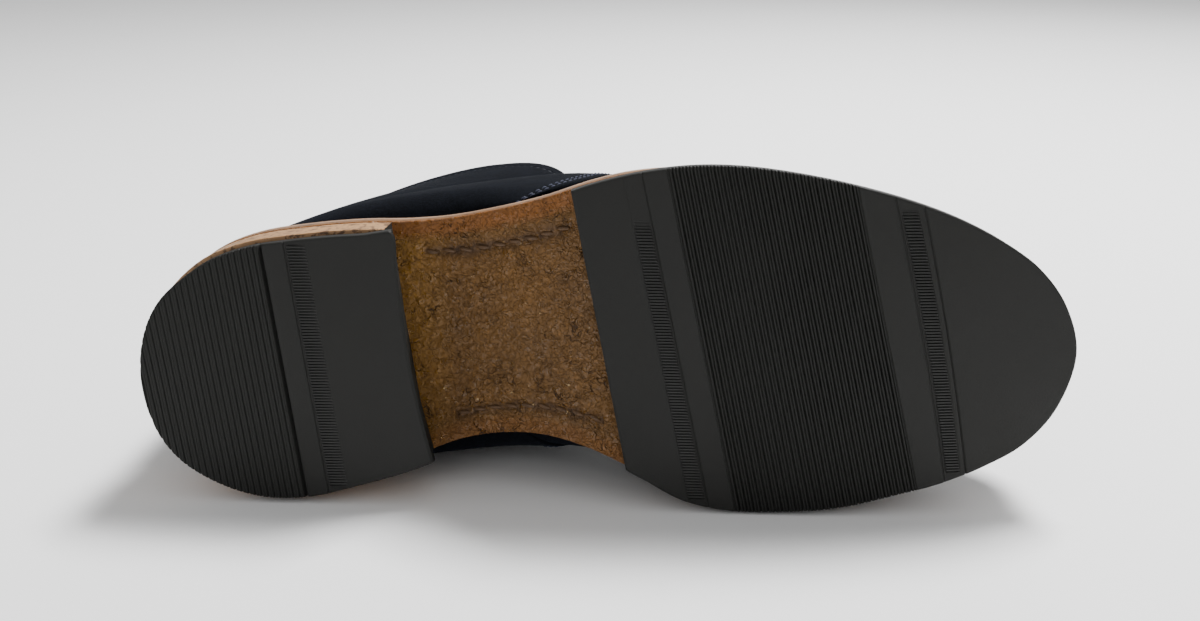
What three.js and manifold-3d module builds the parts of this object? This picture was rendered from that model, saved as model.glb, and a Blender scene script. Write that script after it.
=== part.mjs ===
// Chukka boot for the right foot, lying on its medial side.
// Shoe frame while modelling: x from heel to toe, y towards the medial side, z up from the ground.
import * as THREE from 'three';
import { mergeVertices } from 'three/addons/utils/BufferGeometryUtils.js';
import Module from 'manifold-3d';

const wasm = await Module();
wasm.setup();

// Driving dimensions, millimetres
const gap = 0.3;
const wall = 2.4;
const toeSpring = 10;
const springStart = 208;
const treadThickness = 3.4;
const outsoleThickness = 4;
const weltThickness = 2;
const heelSeatRise = 15.1;
const heelTopPieceThickness = 3.2;
const heelStackInset = 0.3;
const heelTopPieceInset = 0.6;
const archStart = 96;
const archEnd = 152;
const halfSoleX = 149.5;
const halfSoleLean = 0.19;
const breastCentre = { x: 384.8, y: -39.5 };
const breastRadius = 300;
const breastUndercut = 2.8;
const insoleThickness = 3;
const tongueThickness = 2.2;
const tongueDrop = 4.3;
const laceRadius = 1.3;
const laceClearance = 0.5;
const eyeletRadius = 2.1;
const outlineSteps = 96;
const throatY = -3;
const throat = { halfBase: 4, halfTop: 8, baseX: 161, topX: 100 };
const tongue = { halfBase: 20, halfTop: 22, baseX: 163, topX: 110, topZ: 138 };

// The sole's edge in plan: distance from the long axis to the lateral and to the medial edge
const soleOutline = [
  { x: 3, lateral: 9.5, medial: 23.5 },
  { x: 10, lateral: 21, medial: 34.5 },
  { x: 22, lateral: 31.8, medial: 42.7 },
  { x: 36, lateral: 37.5, medial: 47.2 },
  { x: 52, lateral: 40.2, medial: 47.2 },
  { x: 70, lateral: 41.9, medial: 42.6 },
  { x: 86, lateral: 42.3, medial: 37.6 },
  { x: 100, lateral: 43.6, medial: 32 },
  { x: 115, lateral: 46.9, medial: 28.2 },
  { x: 130, lateral: 51.3, medial: 27.2 },
  { x: 145, lateral: 56.8, medial: 30.5 },
  { x: 160, lateral: 60.6, medial: 38 },
  { x: 175, lateral: 62.6, medial: 46.2 },
  { x: 190, lateral: 62.6, medial: 49.4 },
  { x: 207, lateral: 60.6, medial: 49.6 },
  { x: 225, lateral: 57, medial: 48 },
  { x: 243, lateral: 52, medial: 43.8 },
  { x: 258, lateral: 46.3, medial: 39.8 },
  { x: 272, lateral: 39, medial: 34.3 },
  { x: 284, lateral: 30.5, medial: 27.6 },
  { x: 294, lateral: 18, medial: 16 },
];
const heelBack = { x: 0, y: 6 };
const toeTip = { x: 299, y: -2 };

// Sections of the upper's outside, from the toe round the heel to above the collar. Each lies in the plane
// through its top and low points. lateral and medial are its reach where it is fullest, and widest is the
// share of its height at which that is; the powers make its upper and lower halves rounder or squarer.
const sectionColumns = ['topX', 'topY', 'topZ', 'lowX', 'lowY', 'lowZ', 'lateral', 'medial', 'widest',
  'topPower', 'lowPower'];
const upperSections = {
  toeTip: [296, -1.5, 31, 296, -1.5, 3, 9, 6, 0.6, 2, 2.4],
  toeEnd: [293.5, -1.5, 37.5, 293.5, -1.5, 0, 16.5, 14, 0.57, 2, 2.6],
  toeRound: [288, -1, 44, 288, -1, -2, 25, 22.5, 0.5, 2, 3],
  toeCap: [278, -1, 49.5, 278, -1, -5, 32.6, 30, 0.45, 2.1, 3],
  toeBox: [262, -1, 54, 262, -1, -7, 41, 36.5, 0.43, 2.1, 3],
  toes: [243, -1, 57.5, 243, -1, -9, 49, 41.5, 0.43, 2.1, 3],
  vamp: [222, -1, 61.5, 222, -1, -10, 55, 45.5, 0.42, 2, 3],
  ball: [200, -1, 68, 200, -1, -11, 58, 47, 0.41, 2, 3],
  joint: [183, -2, 76, 174, -2, -9, 56.8, 44.6, 0.41, 1.9, 3],
  waist: [171, -3, 85, 146, -3, -5, 54.2, 38, 0.42, 1.9, 2.9],
  instep: [162, -3, 93, 111, -2, 0, 53.6, 37.3, 0.42, 1.9, 2.9],
  seat: [154, -3, 100.5, 68, 1, 2, 50, 41.5, 0.4, 1.85, 3],
  heelSeat: [149.5, -3, 106, 30, 3.5, 1, 46, 45, 0.41, 1.8, 2.4],
  heelCorner: [146.5, -3, 110, 5, 5, 7, 42, 44, 0.49, 1.9, 2.3],
  counter: [143.5, -3, 114, 2, 6, 36, 43, 41, 0.56, 2.1, 2],
  ankle: [141.5, -3, 119, 2.8, 6, 62, 44, 39, 0.64, 2.4, 1.8],
  shaft: [139.5, -3, 124, 6, 6, 86, 44.4, 38.5, 0.68, 2.8, 1.7],
  underCollar: [137.5, -3, 129.5, 8, 6, 106, 44.4, 39, 0.7, 3.1, 1.62],
  collar: [136, -3, 135.5, 9, 6, 120, 44.2, 39, 0.71, 3.4, 1.6],
  overCollar: [134, -3, 145, 10, 6, 136, 44.2, 39, 0.71, 3.4, 1.6],
};
const sectionRows = Object.values(upperSections);
const lastSection = sectionRows.length - 1;

// The pairs of eyelets: place among the sections and angle from the throat's middle
const eyeletPairs = [
  { section: 10.9, angle: 0.31 },
  { section: 13, angle: 0.33 },
  { section: 15.6, angle: 0.35 },
];

// Resting pose: the roll that lifts the sole's face and the turn that levels its medial edge
const restRoll = 5;
const restTurn = -0.4;

// Heights of the sole's layers at a distance x from the heel
function groundZ(x) {
  return toeSpring * (Math.max(0, x - springStart) / (toeTip.x - springStart)) ** 2;
}

function outsoleBottomZ(x) {
  const arch = 1 - THREE.MathUtils.smoothstep(x, archStart, archEnd);
  const forefoot = treadThickness + gap;
  return groundZ(x) + forefoot + (heelSeatRise - forefoot) * arch;
}

function weltBottomZ(x) {
  return outsoleBottomZ(x) + outsoleThickness + gap;
}

function featherZ(x) {
  return weltBottomZ(x) + weltThickness;
}

// The collar's edge: high at the throat, dipping under the ankle and rising a little at the heel
function collarZ(x) {
  const rise = 20 * THREE.MathUtils.smoothstep(x, 55, 128);
  const back = 5 * (1 - THREE.MathUtils.smoothstep(x, 8, 50));
  return 112 + rise + back;
}

// Solids
function solidOf(geometry) {
  const bare = new THREE.BufferGeometry();
  bare.setAttribute('position', geometry.getAttribute('position'));
  bare.setIndex(geometry.getIndex());
  const merged = mergeVertices(bare, 1e-4);
  return new wasm.Manifold(new wasm.Mesh({
    numProp: 3,
    vertProperties: new Float32Array(merged.getAttribute('position').array),
    triVerts: new Uint32Array(merged.getIndex().array),
  }));
}

function geometryOf(solid) {
  const mesh = solid.getMesh();
  const geometry = new THREE.BufferGeometry();
  geometry.setAttribute('position', new THREE.BufferAttribute(mesh.vertProperties, 3));
  geometry.setIndex(new THREE.BufferAttribute(mesh.triVerts, 1));
  return geometry.toNonIndexed();
}

function loft(loops) {
  const count = loops[0].length;
  const corners = loops.flat().flatMap((point) => [point.x, point.y, point.z]);
  const faces = [];
  for (let row = 0; row < loops.length - 1; row += 1) {
    for (let step = 0; step < count; step += 1) {
      const next = (step + 1) % count;
      const here = row * count;
      const there = here + count;
      faces.push(here + step, here + next, there + next, here + step, there + next, there + step);
    }
  }
  const last = (loops.length - 1) * count;
  for (let step = 1; step < count - 1; step += 1) {
    faces.push(0, step + 1, step, last, last + step, last + step + 1);
  }
  const geometry = new THREE.BufferGeometry();
  geometry.setAttribute('position', new THREE.Float32BufferAttribute(corners, 3));
  geometry.setIndex(faces);
  return solidOf(geometry);
}

// A wall standing on a plan outline, from one height to another
function prism(points, bottom, top) {
  const geometry = new THREE.ExtrudeGeometry(new THREE.Shape(points), {
    depth: top - bottom,
    bevelEnabled: false,
  });
  geometry.translate(0, 0, bottom);
  return solidOf(geometry);
}

// A band across the shoe between two heights that change along it
function band(bottomZ, topZ, from = -20, to = 320, step = 4) {
  const stations = [];
  for (let x = from; x <= to; x += step) stations.push(x);
  const lower = stations.map((x) => new THREE.Vector2(x, bottomZ(x)));
  const upper = stations.map((x) => new THREE.Vector2(x, topZ(x))).reverse();
  const geometry = new THREE.ExtrudeGeometry(new THREE.Shape([...lower, ...upper]), {
    depth: 200,
    bevelEnabled: false,
  });
  geometry.translate(0, 0, -100);
  geometry.rotateX(Math.PI / 2);
  return solidOf(geometry);
}

// The sole's outline in plan, moved in from its edge
function outlinePoints(inset = 0) {
  const lateralSide = soleOutline.map((row) => new THREE.Vector3(row.x, -row.lateral, 0));
  const medialSide = soleOutline.map((row) => new THREE.Vector3(row.x, row.medial, 0)).reverse();
  const back = new THREE.Vector3(heelBack.x, heelBack.y, 0);
  const tip = new THREE.Vector3(toeTip.x, toeTip.y, 0);
  const curve = new THREE.CatmullRomCurve3([back, ...lateralSide, tip, ...medialSide], true, 'centripetal');
  return curve.getSpacedPoints(outlineSteps).slice(0, -1).map((point, index) => {
    const tangent = curve.getTangentAt(index / outlineSteps);
    return new THREE.Vector2(point.x - inset * tangent.y, point.y + inset * tangent.x);
  });
}

// A plate that follows the sole's outline between two heights
function solePlate(inset, bottomZ, topZ) {
  return prism(outlinePoints(inset), -10, 60).intersect(band(bottomZ, topZ));
}

// A half space across the shoe: everything in front of a slanted line
function frontOf(xAtAxis, lean) {
  const reach = 100;
  const corners = [
    new THREE.Vector2(xAtAxis - lean * reach, -reach),
    new THREE.Vector2(400, -reach),
    new THREE.Vector2(400, reach),
    new THREE.Vector2(xAtAxis + lean * reach, reach),
  ];
  return prism(corners, -20, 80);
}

// The hollow curve of the heel breast, as the round body that lies in front of the heel
function breastCutter(undercut) {
  const geometry = new THREE.CylinderGeometry(breastRadius, breastRadius, 60, 180);
  geometry.rotateX(Math.PI / 2);
  geometry.translate(breastCentre.x - undercut, breastCentre.y, 0);
  return solidOf(geometry);
}

function forefootRubber() {
  const layer = solePlate(0, groundZ, (x) => outsoleBottomZ(x) - gap);
  return layer.intersect(frontOf(halfSoleX, halfSoleLean));
}

function heelLayer(inset, bottom, top, undercut) {
  return prism(outlinePoints(inset), bottom, top).subtract(breastCutter(undercut));
}

function heelStack() {
  return heelLayer(heelStackInset, heelTopPieceThickness + gap, heelSeatRise - gap, breastUndercut);
}

// One section of the upper, between the named ones
function sectionAt(position) {
  const index = Math.min(lastSection - 1, Math.floor(position));
  const share = position - index;
  const squared = share * share;
  const cubed = squared * share;
  const rowAt = (offset) => sectionRows[THREE.MathUtils.clamp(index + offset, 0, lastSection)];
  return Object.fromEntries(sectionColumns.map((name, column) => {
    const [before, start, end, after] = [-1, 0, 1, 2].map((offset) => rowAt(offset)[column]);
    const value = (2 * cubed - 3 * squared + 1) * start
      + (cubed - 2 * squared + share) * (end - before) / 2
      + (3 * squared - 2 * cubed) * end
      + (cubed - squared) * (after - start) / 2;
    return [name, value];
  }));
}

// A point of a section, at an angle from its top round by the medial side, moved in by an inset
function sectionPoint(row, angle, inset) {
  const top = new THREE.Vector3(row.topX, row.topY, row.topZ);
  const low = new THREE.Vector3(row.lowX, row.lowY, row.lowZ);
  const fullest = low.clone().lerp(top, row.widest);
  const upwards = Math.cos(angle) > 0;
  const power = upwards ? row.topPower : row.lowPower;
  const end = upwards ? top : low;
  const reach = fullest.distanceTo(end) - inset;
  const half = (Math.sin(angle) > 0 ? row.medial - fullest.y : row.lateral + fullest.y) - inset;
  const along = Math.abs(Math.cos(angle)) ** (2 / power) * reach;
  const across = Math.sign(Math.sin(angle)) * Math.abs(Math.sin(angle)) ** (2 / power) * half;
  const point = fullest.clone().addScaledVector(end.clone().sub(fullest).normalize(), along);
  point.y += across;
  return point;
}

function sectionLoop(position, inset, count) {
  const row = sectionAt(position);
  const loop = [];
  for (let step = 0; step < count; step += 1) {
    loop.push(sectionPoint(row, (2 * Math.PI * step) / count, inset));
  }
  return loop;
}

// The body inside a surface parallel to the upper's outside
function lastBody(inset, count = 32, rowsPerSection = 2) {
  const loops = [];
  for (let step = 0; step <= lastSection * rowsPerSection; step += 1) {
    const loop = sectionLoop(step / rowsPerSection, inset, count);
    const back = step < 3 ? inset * (1 - step / 3) : 0;
    loops.push(loop.map((point) => point.setX(point.x - back)));
  }
  return loft(loops);
}

// An opening in plan along the instep, round at its base
function throatPoints({ halfBase, halfTop, baseX, topX }) {
  const points = [new THREE.Vector2(topX, throatY - halfTop)];
  for (let step = 0; step <= 8; step += 1) {
    const angle = -Math.PI / 2 + (Math.PI * step) / 8;
    points.push(new THREE.Vector2(baseX + halfBase * Math.cos(angle), throatY + halfBase * Math.sin(angle)));
  }
  points.push(new THREE.Vector2(topX, throatY + halfTop));
  return points;
}

// A place over the upper's outside: section and angle from the throat's middle, height along the normal
function overUpper(section, angle, height) {
  const point = sectionPoint(sectionAt(section), angle, 0);
  const along = sectionPoint(sectionAt(section + 0.2), angle, 0).sub(point);
  const around = sectionPoint(sectionAt(section), angle + 0.05, 0).sub(point);
  const outward = around.cross(along).normalize();
  return point.addScaledVector(outward, outward.z < 0 ? -height : height);
}

function eyeletAt(pair, side, height) {
  const { section, angle } = eyeletPairs[pair];
  return overUpper(section, side * angle, height);
}

function rod(start, end, radius, sides) {
  const span = end.clone().sub(start);
  const geometry = new THREE.CylinderGeometry(radius, radius, span.length(), sides);
  const upright = new THREE.Vector3(0, 1, 0);
  geometry.applyQuaternion(new THREE.Quaternion().setFromUnitVectors(upright, span.clone().normalize()));
  const middle = start.clone().add(end).multiplyScalar(0.5);
  geometry.translate(middle.x, middle.y, middle.z);
  return solidOf(geometry);
}

// A round cord through a list of places, mitred where it turns
function cordThrough(places, sides = 8) {
  const directions = places.slice(1).map((place, index) => place.clone().sub(places[index]).normalize());
  const first = directions[0];
  const sideways = new THREE.Vector3(0, 0, 1).cross(first).normalize();
  const upwards = first.clone().cross(sideways);
  let loop = [];
  for (let step = 0; step < sides; step += 1) {
    const angle = (2 * Math.PI * step) / sides;
    const spoke = sideways.clone().multiplyScalar(laceRadius * Math.cos(angle));
    loop.push(spoke.addScaledVector(upwards, laceRadius * Math.sin(angle)).add(places[0]));
  }
  const loops = [loop];
  for (let index = 1; index < places.length; index += 1) {
    const along = directions[index - 1];
    const normal = along.clone().add(directions[index] ?? along).normalize();
    const plane = new THREE.Plane().setFromNormalAndCoplanarPoint(normal, places[index]);
    loop = loop.map((point) => {
      return point.clone().addScaledVector(along, -plane.distanceToPoint(point) / along.dot(normal));
    });
    loops.push(loop);
  }
  return loft(loops);
}

// Places from an eyelet on one side to one on the other, at one height over the upper
function crossing(fromPair, toPair, side, height, steps = 4) {
  const places = [];
  for (let step = 0; step <= steps; step += 1) {
    const share = step / steps;
    const from = eyeletPairs[fromPair];
    const to = eyeletPairs[toPair];
    const section = THREE.MathUtils.lerp(from.section, to.section, share);
    const angle = THREE.MathUtils.lerp(side * from.angle, -side * to.angle, share);
    places.push(overUpper(section, angle, height));
  }
  return places;
}

function upperBody() {
  let body = lastBody(0, 40).subtract(lastBody(wall));
  body = body.subtract(band(() => -30, (x) => featherZ(x) + gap));
  body = body.subtract(band(collarZ, () => 200));
  body = body.subtract(prism(throatPoints(throat), 62, 200));
  for (let pair = 0; pair < eyeletPairs.length; pair += 1) {
    for (const side of [-1, 1]) {
      body = body.subtract(rod(eyeletAt(pair, side, -6), eyeletAt(pair, side, 4), eyeletRadius, 10));
    }
  }
  return body;
}

function tongueBody() {
  const depth = wall + tongueDrop;
  const shell = lastBody(depth).subtract(lastBody(depth + tongueThickness));
  return shell.intersect(prism(throatPoints(tongue), 60, tongue.topZ));
}

function insoleBody() {
  const inside = lastBody(wall + 2 * gap);
  return inside.intersect(band((x) => featherZ(x) + gap, (x) => featherZ(x) + gap + insoleThickness));
}

// One lace, joined from two halves: a bar over the lowest pair, a crossing under the facings, one over them
function laceBody() {
  const over = laceRadius + laceClearance;
  const under = -wall - over;
  const halves = [-1, 1].map((side) => {
    const bar = crossing(0, 0, -side, over).slice(2);
    const hidden = crossing(0, 1, side, under);
    const shown = crossing(1, 2, -side, over);
    return cordThrough([...bar, ...hidden, ...shown, eyeletAt(2, side, under + laceRadius)]);
  });
  return halves[0].add(halves[1]);
}

const pieces = [
  { name: 'upper', build: upperBody, color: 0x20293a, roughness: 0.95 },
  { name: 'tongue', build: tongueBody, color: 0x1c2433, roughness: 0.95 },
  { name: 'insole', build: insoleBody, color: 0xb58a5e, roughness: 0.75 },
  { name: 'welt', build: () => solePlate(0, weltBottomZ, featherZ), color: 0xd9b79b, roughness: 0.6 },
  {
    name: 'outsole',
    build: () => solePlate(0, outsoleBottomZ, (x) => outsoleBottomZ(x) + outsoleThickness),
    color: 0xb8854f,
    roughness: 0.45,
  },
  { name: 'forefoot_rubber', build: forefootRubber, color: 0x2d2d2b, roughness: 0.8 },
  { name: 'heel_stack', build: heelStack, color: 0xbe9673, roughness: 0.6 },
  {
    name: 'heel_top_piece',
    build: () => heelLayer(heelTopPieceInset, 0, heelTopPieceThickness, 0),
    color: 0x2d2d2b,
    roughness: 0.8,
  },
  { name: 'laces', build: laceBody, color: 0x1a1f2b, roughness: 0.85 },
];

const shoe = new THREE.Group();
for (const piece of pieces) {
  const { color, roughness } = piece;
  const material = new THREE.MeshStandardMaterial({ color, roughness, metalness: 0 });
  const mesh = new THREE.Mesh(geometryOf(piece.build()), material);
  mesh.name = piece.name;
  shoe.add(mesh);
}

// The shoe lies on its medial side, with the middle of its box over the origin
shoe.rotation.set(THREE.MathUtils.degToRad(-90 - restRoll), 0, 0);
const turned = new THREE.Group();
turned.rotation.y = THREE.MathUtils.degToRad(restTurn);
turned.add(shoe);
const boot = new THREE.Group();
boot.add(turned);
const box = new THREE.Box3().setFromObject(boot, true);
const middle = box.getCenter(new THREE.Vector3());
turned.position.set(-middle.x, -middle.y, -box.min.z);

export default boot;
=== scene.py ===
"""Looks of the chukka boot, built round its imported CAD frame. Lengths in the tables are millimetres."""

import math

import bmesh
import bpy
import numpy as np
from mathutils import Matrix, Vector


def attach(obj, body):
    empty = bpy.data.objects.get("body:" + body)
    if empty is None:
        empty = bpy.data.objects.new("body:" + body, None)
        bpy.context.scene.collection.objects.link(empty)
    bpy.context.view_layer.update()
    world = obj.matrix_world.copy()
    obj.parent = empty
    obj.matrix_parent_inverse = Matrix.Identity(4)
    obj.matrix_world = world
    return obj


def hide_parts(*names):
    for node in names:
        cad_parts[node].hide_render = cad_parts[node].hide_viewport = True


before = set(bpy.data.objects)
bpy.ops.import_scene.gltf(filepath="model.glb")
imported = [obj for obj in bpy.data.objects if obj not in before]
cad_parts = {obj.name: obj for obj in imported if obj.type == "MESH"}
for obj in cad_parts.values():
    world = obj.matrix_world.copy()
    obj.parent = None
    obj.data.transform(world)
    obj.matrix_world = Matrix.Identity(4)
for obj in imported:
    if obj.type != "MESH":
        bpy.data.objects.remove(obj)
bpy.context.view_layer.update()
MM = 0.001

# ---------------------------------------------------------------- shoe frame
# x runs from heel to toe, y towards the medial side and z up from the ground that the boot is worn on.
# The boot lies rolled on to its medial side, and turned a little so that heel and ball both touch the floor.
REST_ROLL = 95.0
REST_TURN = -0.4
HEEL_BACK = (0.0, 6.0)
TOE_TIP = (299.0, -2.0)


def shoe_matrix():
    """Where the shoe frame is in the row, found from the welt's heel end and the heel's ground face."""
    roll = Matrix.Rotation(math.radians(-REST_ROLL), 4, "X")
    turn = Matrix.Rotation(math.radians(REST_TURN), 4, "Y") @ roll
    back = turn.inverted()
    heel_end = min((back @ v.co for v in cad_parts["welt"].data.vertices), key=lambda p: p.x)
    ground = min((back @ v.co).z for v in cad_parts["heel_top_piece"].data.vertices)
    shift = Vector((heel_end.x - HEEL_BACK[0] * MM, heel_end.y - HEEL_BACK[1] * MM, ground))
    return Matrix.Translation(turn @ shift) @ turn


SHOE = shoe_matrix()

# Sole edge in plan: x, distance of the lateral edge, distance of the medial edge
SOLE_OUTLINE = (
    (3, 9.5, 23.5), (10, 21, 34.5), (22, 31.8, 42.7), (36, 37.5, 47.2), (52, 40.2, 47.2), (70, 41.9, 42.6),
    (86, 42.3, 37.6), (100, 43.6, 32), (115, 46.9, 28.2), (130, 51.3, 27.2), (145, 56.8, 30.5),
    (160, 60.6, 38), (175, 62.6, 46.2), (190, 62.6, 49.4), (207, 60.6, 49.6), (225, 57, 48),
    (243, 52, 43.8), (258, 46.3, 39.8), (272, 39, 34.3), (284, 30.5, 27.6), (294, 18, 16),
)
TOE_SPRING = 10.0
SPRING_START = 208.0
ARCH = (96.0, 152.0)

# The heel's front face, its breast, follows a circle in plan
BREAST_CENTRE = (384.8, -39.5)
BREAST_RADIUS = 300.0
BREAST_UNDERCUT = 2.8

# Sections of the upper, toe to collar: top x y z, low x y z, lateral, medial, widest, top power, low power
UPPER_SECTIONS = np.array((
    (296, -1.5, 31, 296, -1.5, 3, 9, 6, 0.6, 2, 2.4),
    (293.5, -1.5, 37.5, 293.5, -1.5, 0, 16.5, 14, 0.57, 2, 2.6),
    (288, -1, 44, 288, -1, -2, 25, 22.5, 0.5, 2, 3),
    (278, -1, 49.5, 278, -1, -5, 32.6, 30, 0.45, 2.1, 3),
    (262, -1, 54, 262, -1, -7, 41, 36.5, 0.43, 2.1, 3),
    (243, -1, 57.5, 243, -1, -9, 49, 41.5, 0.43, 2.1, 3),
    (222, -1, 61.5, 222, -1, -10, 55, 45.5, 0.42, 2, 3),
    (200, -1, 68, 200, -1, -11, 58, 47, 0.41, 2, 3),
    (183, -2, 76, 174, -2, -9, 56.8, 44.6, 0.41, 1.9, 3),
    (171, -3, 85, 146, -3, -5, 54.2, 38, 0.42, 1.9, 2.9),
    (162, -3, 93, 111, -2, 0, 53.6, 37.3, 0.42, 1.9, 2.9),
    (154, -3, 100.5, 68, 1, 2, 50, 41.5, 0.4, 1.85, 3),
    (149.5, -3, 106, 30, 3.5, 1, 46, 45, 0.41, 1.8, 2.4),
    (146.5, -3, 110, 5, 5, 7, 42, 44, 0.49, 1.9, 2.3),
    (143.5, -3, 114, 2, 6, 36, 43, 41, 0.56, 2.1, 2),
    (141.5, -3, 119, 2.8, 6, 62, 44, 39, 0.64, 2.4, 1.8),
    (139.5, -3, 124, 6, 6, 86, 44.4, 38.5, 0.68, 2.8, 1.7),
    (137.5, -3, 129.5, 8, 6, 106, 44.4, 39, 0.7, 3.1, 1.62),
    (136, -3, 135.5, 9, 6, 120, 44.2, 39, 0.71, 3.4, 1.6),
    (134, -3, 145, 10, 6, 136, 44.2, 39, 0.71, 3.4, 1.6),
), dtype=float)
LAST_SECTION = len(UPPER_SECTIONS) - 1
THROAT_Y = -3.0
THROAT_BASE = (161.0, 4.0)
THROAT_TOP = (100.0, 8.0)

# Section and angle of the eyelets, from the lowest pair up
EYELETS = ((10.9, 0.31), (13.0, 0.33), (15.6, 0.35))

# The outsole's lower face: its height at the ball and how much more at the heel. Over it, the outsole's
# thickness, the welt's lower and upper face, and the gap between pieces that meet
SOLE_HEIGHT = 3.7
HEEL_LIFT = 11.4
SOLE_THICKNESS = 4
WELT_OVER_SOLE = 4.3
FEATHER_OVER_SOLE = 6.3
PIECE_GAP = 0.3

# The collar's height beside the ankle, and how much more in front and at the back
COLLAR_HEIGHT = 112
COLLAR_FRONT = 20
COLLAR_BACK = 5


def smoothstep(x, low, high):
    """0 below low, 1 above high and a smooth rise between."""
    t = np.clip((np.asarray(x, dtype=float) - low) / (high - low), 0, 1)
    return t * t * (3 - 2 * t)


def ground_z(x):
    """The ground face, which curves up towards the toe."""
    return TOE_SPRING * (np.maximum(0, np.asarray(x) - SPRING_START) / (TOE_TIP[0] - SPRING_START)) ** 2


def outsole_z(x):
    """The outsole's lower face, which climbs over the arch to the heel."""
    return ground_z(x) + SOLE_HEIGHT + HEEL_LIFT * (1 - smoothstep(x, *ARCH))


def welt_z(x):
    return outsole_z(x) + WELT_OVER_SOLE


def feather_z(x):
    """The plane on the welt where the upper ends."""
    return outsole_z(x) + FEATHER_OVER_SOLE


def collar_z(x):
    return COLLAR_HEIGHT + COLLAR_FRONT * smoothstep(x, 55, 128) + COLLAR_BACK * (1 - smoothstep(x, 8, 50))


def hermite(t, start, leaving, end, arriving):
    """A cubic between two places, with its slopes there."""
    squared, cubed = t**2, t**3
    return ((2 * cubed - 3 * squared + 1) * start + (cubed - 2 * squared + t) * leaving
            + (3 * squared - 2 * cubed) * end + (cubed - squared) * arriving)


# ---------------------------------------------------------------- meshes
SHARP_ANGLE = 42
OUTLINE_STEPS = 30


def make_mesh(name, points, faces, materials, face_materials=None, merge=0.002, extra=None):
    """A mesh of shoe-frame points in millimetres, placed in the row, with points that coincide merged.

    face_materials are indices in materials, and extra holds named values at the points.
    """
    mesh = bpy.data.meshes.new(name)
    mesh.from_pydata((np.asarray(points) * MM).tolist(), [], faces)
    for material in materials:
        mesh.materials.append(material)
    if face_materials is not None:
        mesh.polygons.foreach_set("material_index", np.asarray(face_materials, dtype=np.int32))
    for label, values in (extra or {}).items():
        attribute = mesh.attributes.new(label, "FLOAT", "POINT")
        attribute.data.foreach_set("value", np.asarray(values, dtype=np.float32))
    work = bmesh.new()
    work.from_mesh(mesh)
    bmesh.ops.remove_doubles(work, verts=work.verts, dist=merge * MM)
    bmesh.ops.recalc_face_normals(work, faces=work.faces)
    for face in work.faces:
        face.smooth = True
    work.to_mesh(mesh)
    work.free()
    mesh.set_sharp_from_angle(angle=math.radians(SHARP_ANGLE))
    obj = bpy.data.objects.new(name, mesh)
    bpy.context.scene.collection.objects.link(obj)
    obj.matrix_world = SHOE
    return obj


def grid_faces(rows, columns, wrap=False, start=0, flip=False):
    """Quads of a grid of points stored row by row."""
    faces = []
    for row in range(rows - 1):
        for column in range(columns if wrap else columns - 1):
            a = start + row * columns + column
            b = start + row * columns + (column + 1) % columns
            quad = (a, b, b + columns, a + columns)
            faces.append(quad[::-1] if flip else quad)
    return faces


def sheet(name, grid, material, merge=0.002):
    """A mesh of one grid of points."""
    return make_mesh(name, grid.reshape(-1, 3), grid_faces(*grid.shape[:2]), [material], merge=merge)


def lined_sheet(name, outer, inner, materials, merge):
    """A mesh of an outside and an inside, both grids of points, each with its own material."""
    rows, columns = outer.shape[:2]
    outer_faces = grid_faces(rows, columns)
    inner_faces = grid_faces(rows, columns, start=rows * columns, flip=True)
    points = np.concatenate([outer.reshape(-1, 3), inner.reshape(-1, 3)])
    kinds = [0] * len(outer_faces) + [1] * len(inner_faces)
    return make_mesh(name, points, outer_faces + inner_faces, materials, kinds, merge=merge)


def outline(inset=0.0):
    """The sole's edge as a closed line in plan, moved in by an inset or by a function of its points."""
    lateral = [(x, -side) for x, side, _ in SOLE_OUTLINE]
    medial = [(x, side) for x, _, side in SOLE_OUTLINE][::-1]
    knots = np.array([HEEL_BACK, *lateral, TOE_TIP, *medial], dtype=float)
    count = len(knots)
    points = []
    for i in range(count):
        p0, p1, p2, p3 = (knots[(i + k) % count] for k in (-1, 0, 1, 2))
        t0, t1, t2 = (math.sqrt(np.linalg.norm(b - a)) for a, b in ((p0, p1), (p1, p2), (p2, p3)))
        m1 = ((p1 - p0) / t0 - (p2 - p0) / (t0 + t1) + (p2 - p1) / t1) * t1
        m2 = ((p2 - p1) / t1 - (p3 - p1) / (t1 + t2) + (p3 - p2) / t2) * t1
        points += [hermite(t, p1, m1, p2, m2) for t in np.arange(OUTLINE_STEPS) / OUTLINE_STEPS]
    points = np.array(points)
    along = np.roll(points, -1, 0) - np.roll(points, 1, 0)
    along /= np.linalg.norm(along, axis=1, keepdims=True)
    inward = np.stack([-along[:, 1], along[:, 0]], 1)
    depth = np.broadcast_to(inset(points) if callable(inset) else inset, len(points))
    return points + depth[:, None] * inward


def chord(line, row_x, v):
    """Where a row's line meets the outline: its lateral and medial y, or None where it misses."""
    u = line[:, 0] - row_x(v, line[:, 1])
    after = np.roll(u, -1)
    cross = (u <= 0) != (after <= 0)
    share = u[cross] / (u[cross] - after[cross])
    y = line[cross, 1] + share * (np.roll(line[:, 1], -1)[cross] - line[cross, 1])
    return (y.min(), y.max()) if len(y) >= 2 and y.max() - y.min() > 0.3 else None


def edge_distance(points, line):
    """Distance in plan of every point from the outline."""
    a = line
    ab = np.roll(line, -1, 0) - a
    length = (ab**2).sum(1)
    out = np.empty(len(points))
    for begin in range(0, len(points), 4000):
        part = points[begin:begin + 4000]
        ap = part[:, None, :] - a[None]
        t = np.clip((ap * ab[None]).sum(2) / length[None], 0, 1)
        out[begin:begin + 4000] = np.sqrt(((ap - t[..., None] * ab[None]) ** 2).sum(2).min(1))
    return out


# Places beside an edge, shares of a wall's height, and how many of a face's columns its back skips
EDGE_STEPS = (0, 0.12, 0.35, 0.7, 1.2, 2.0)
WALL_STEPS = (0.08, 0.5, 1.0)
BACK_STRIDE = 14


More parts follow.
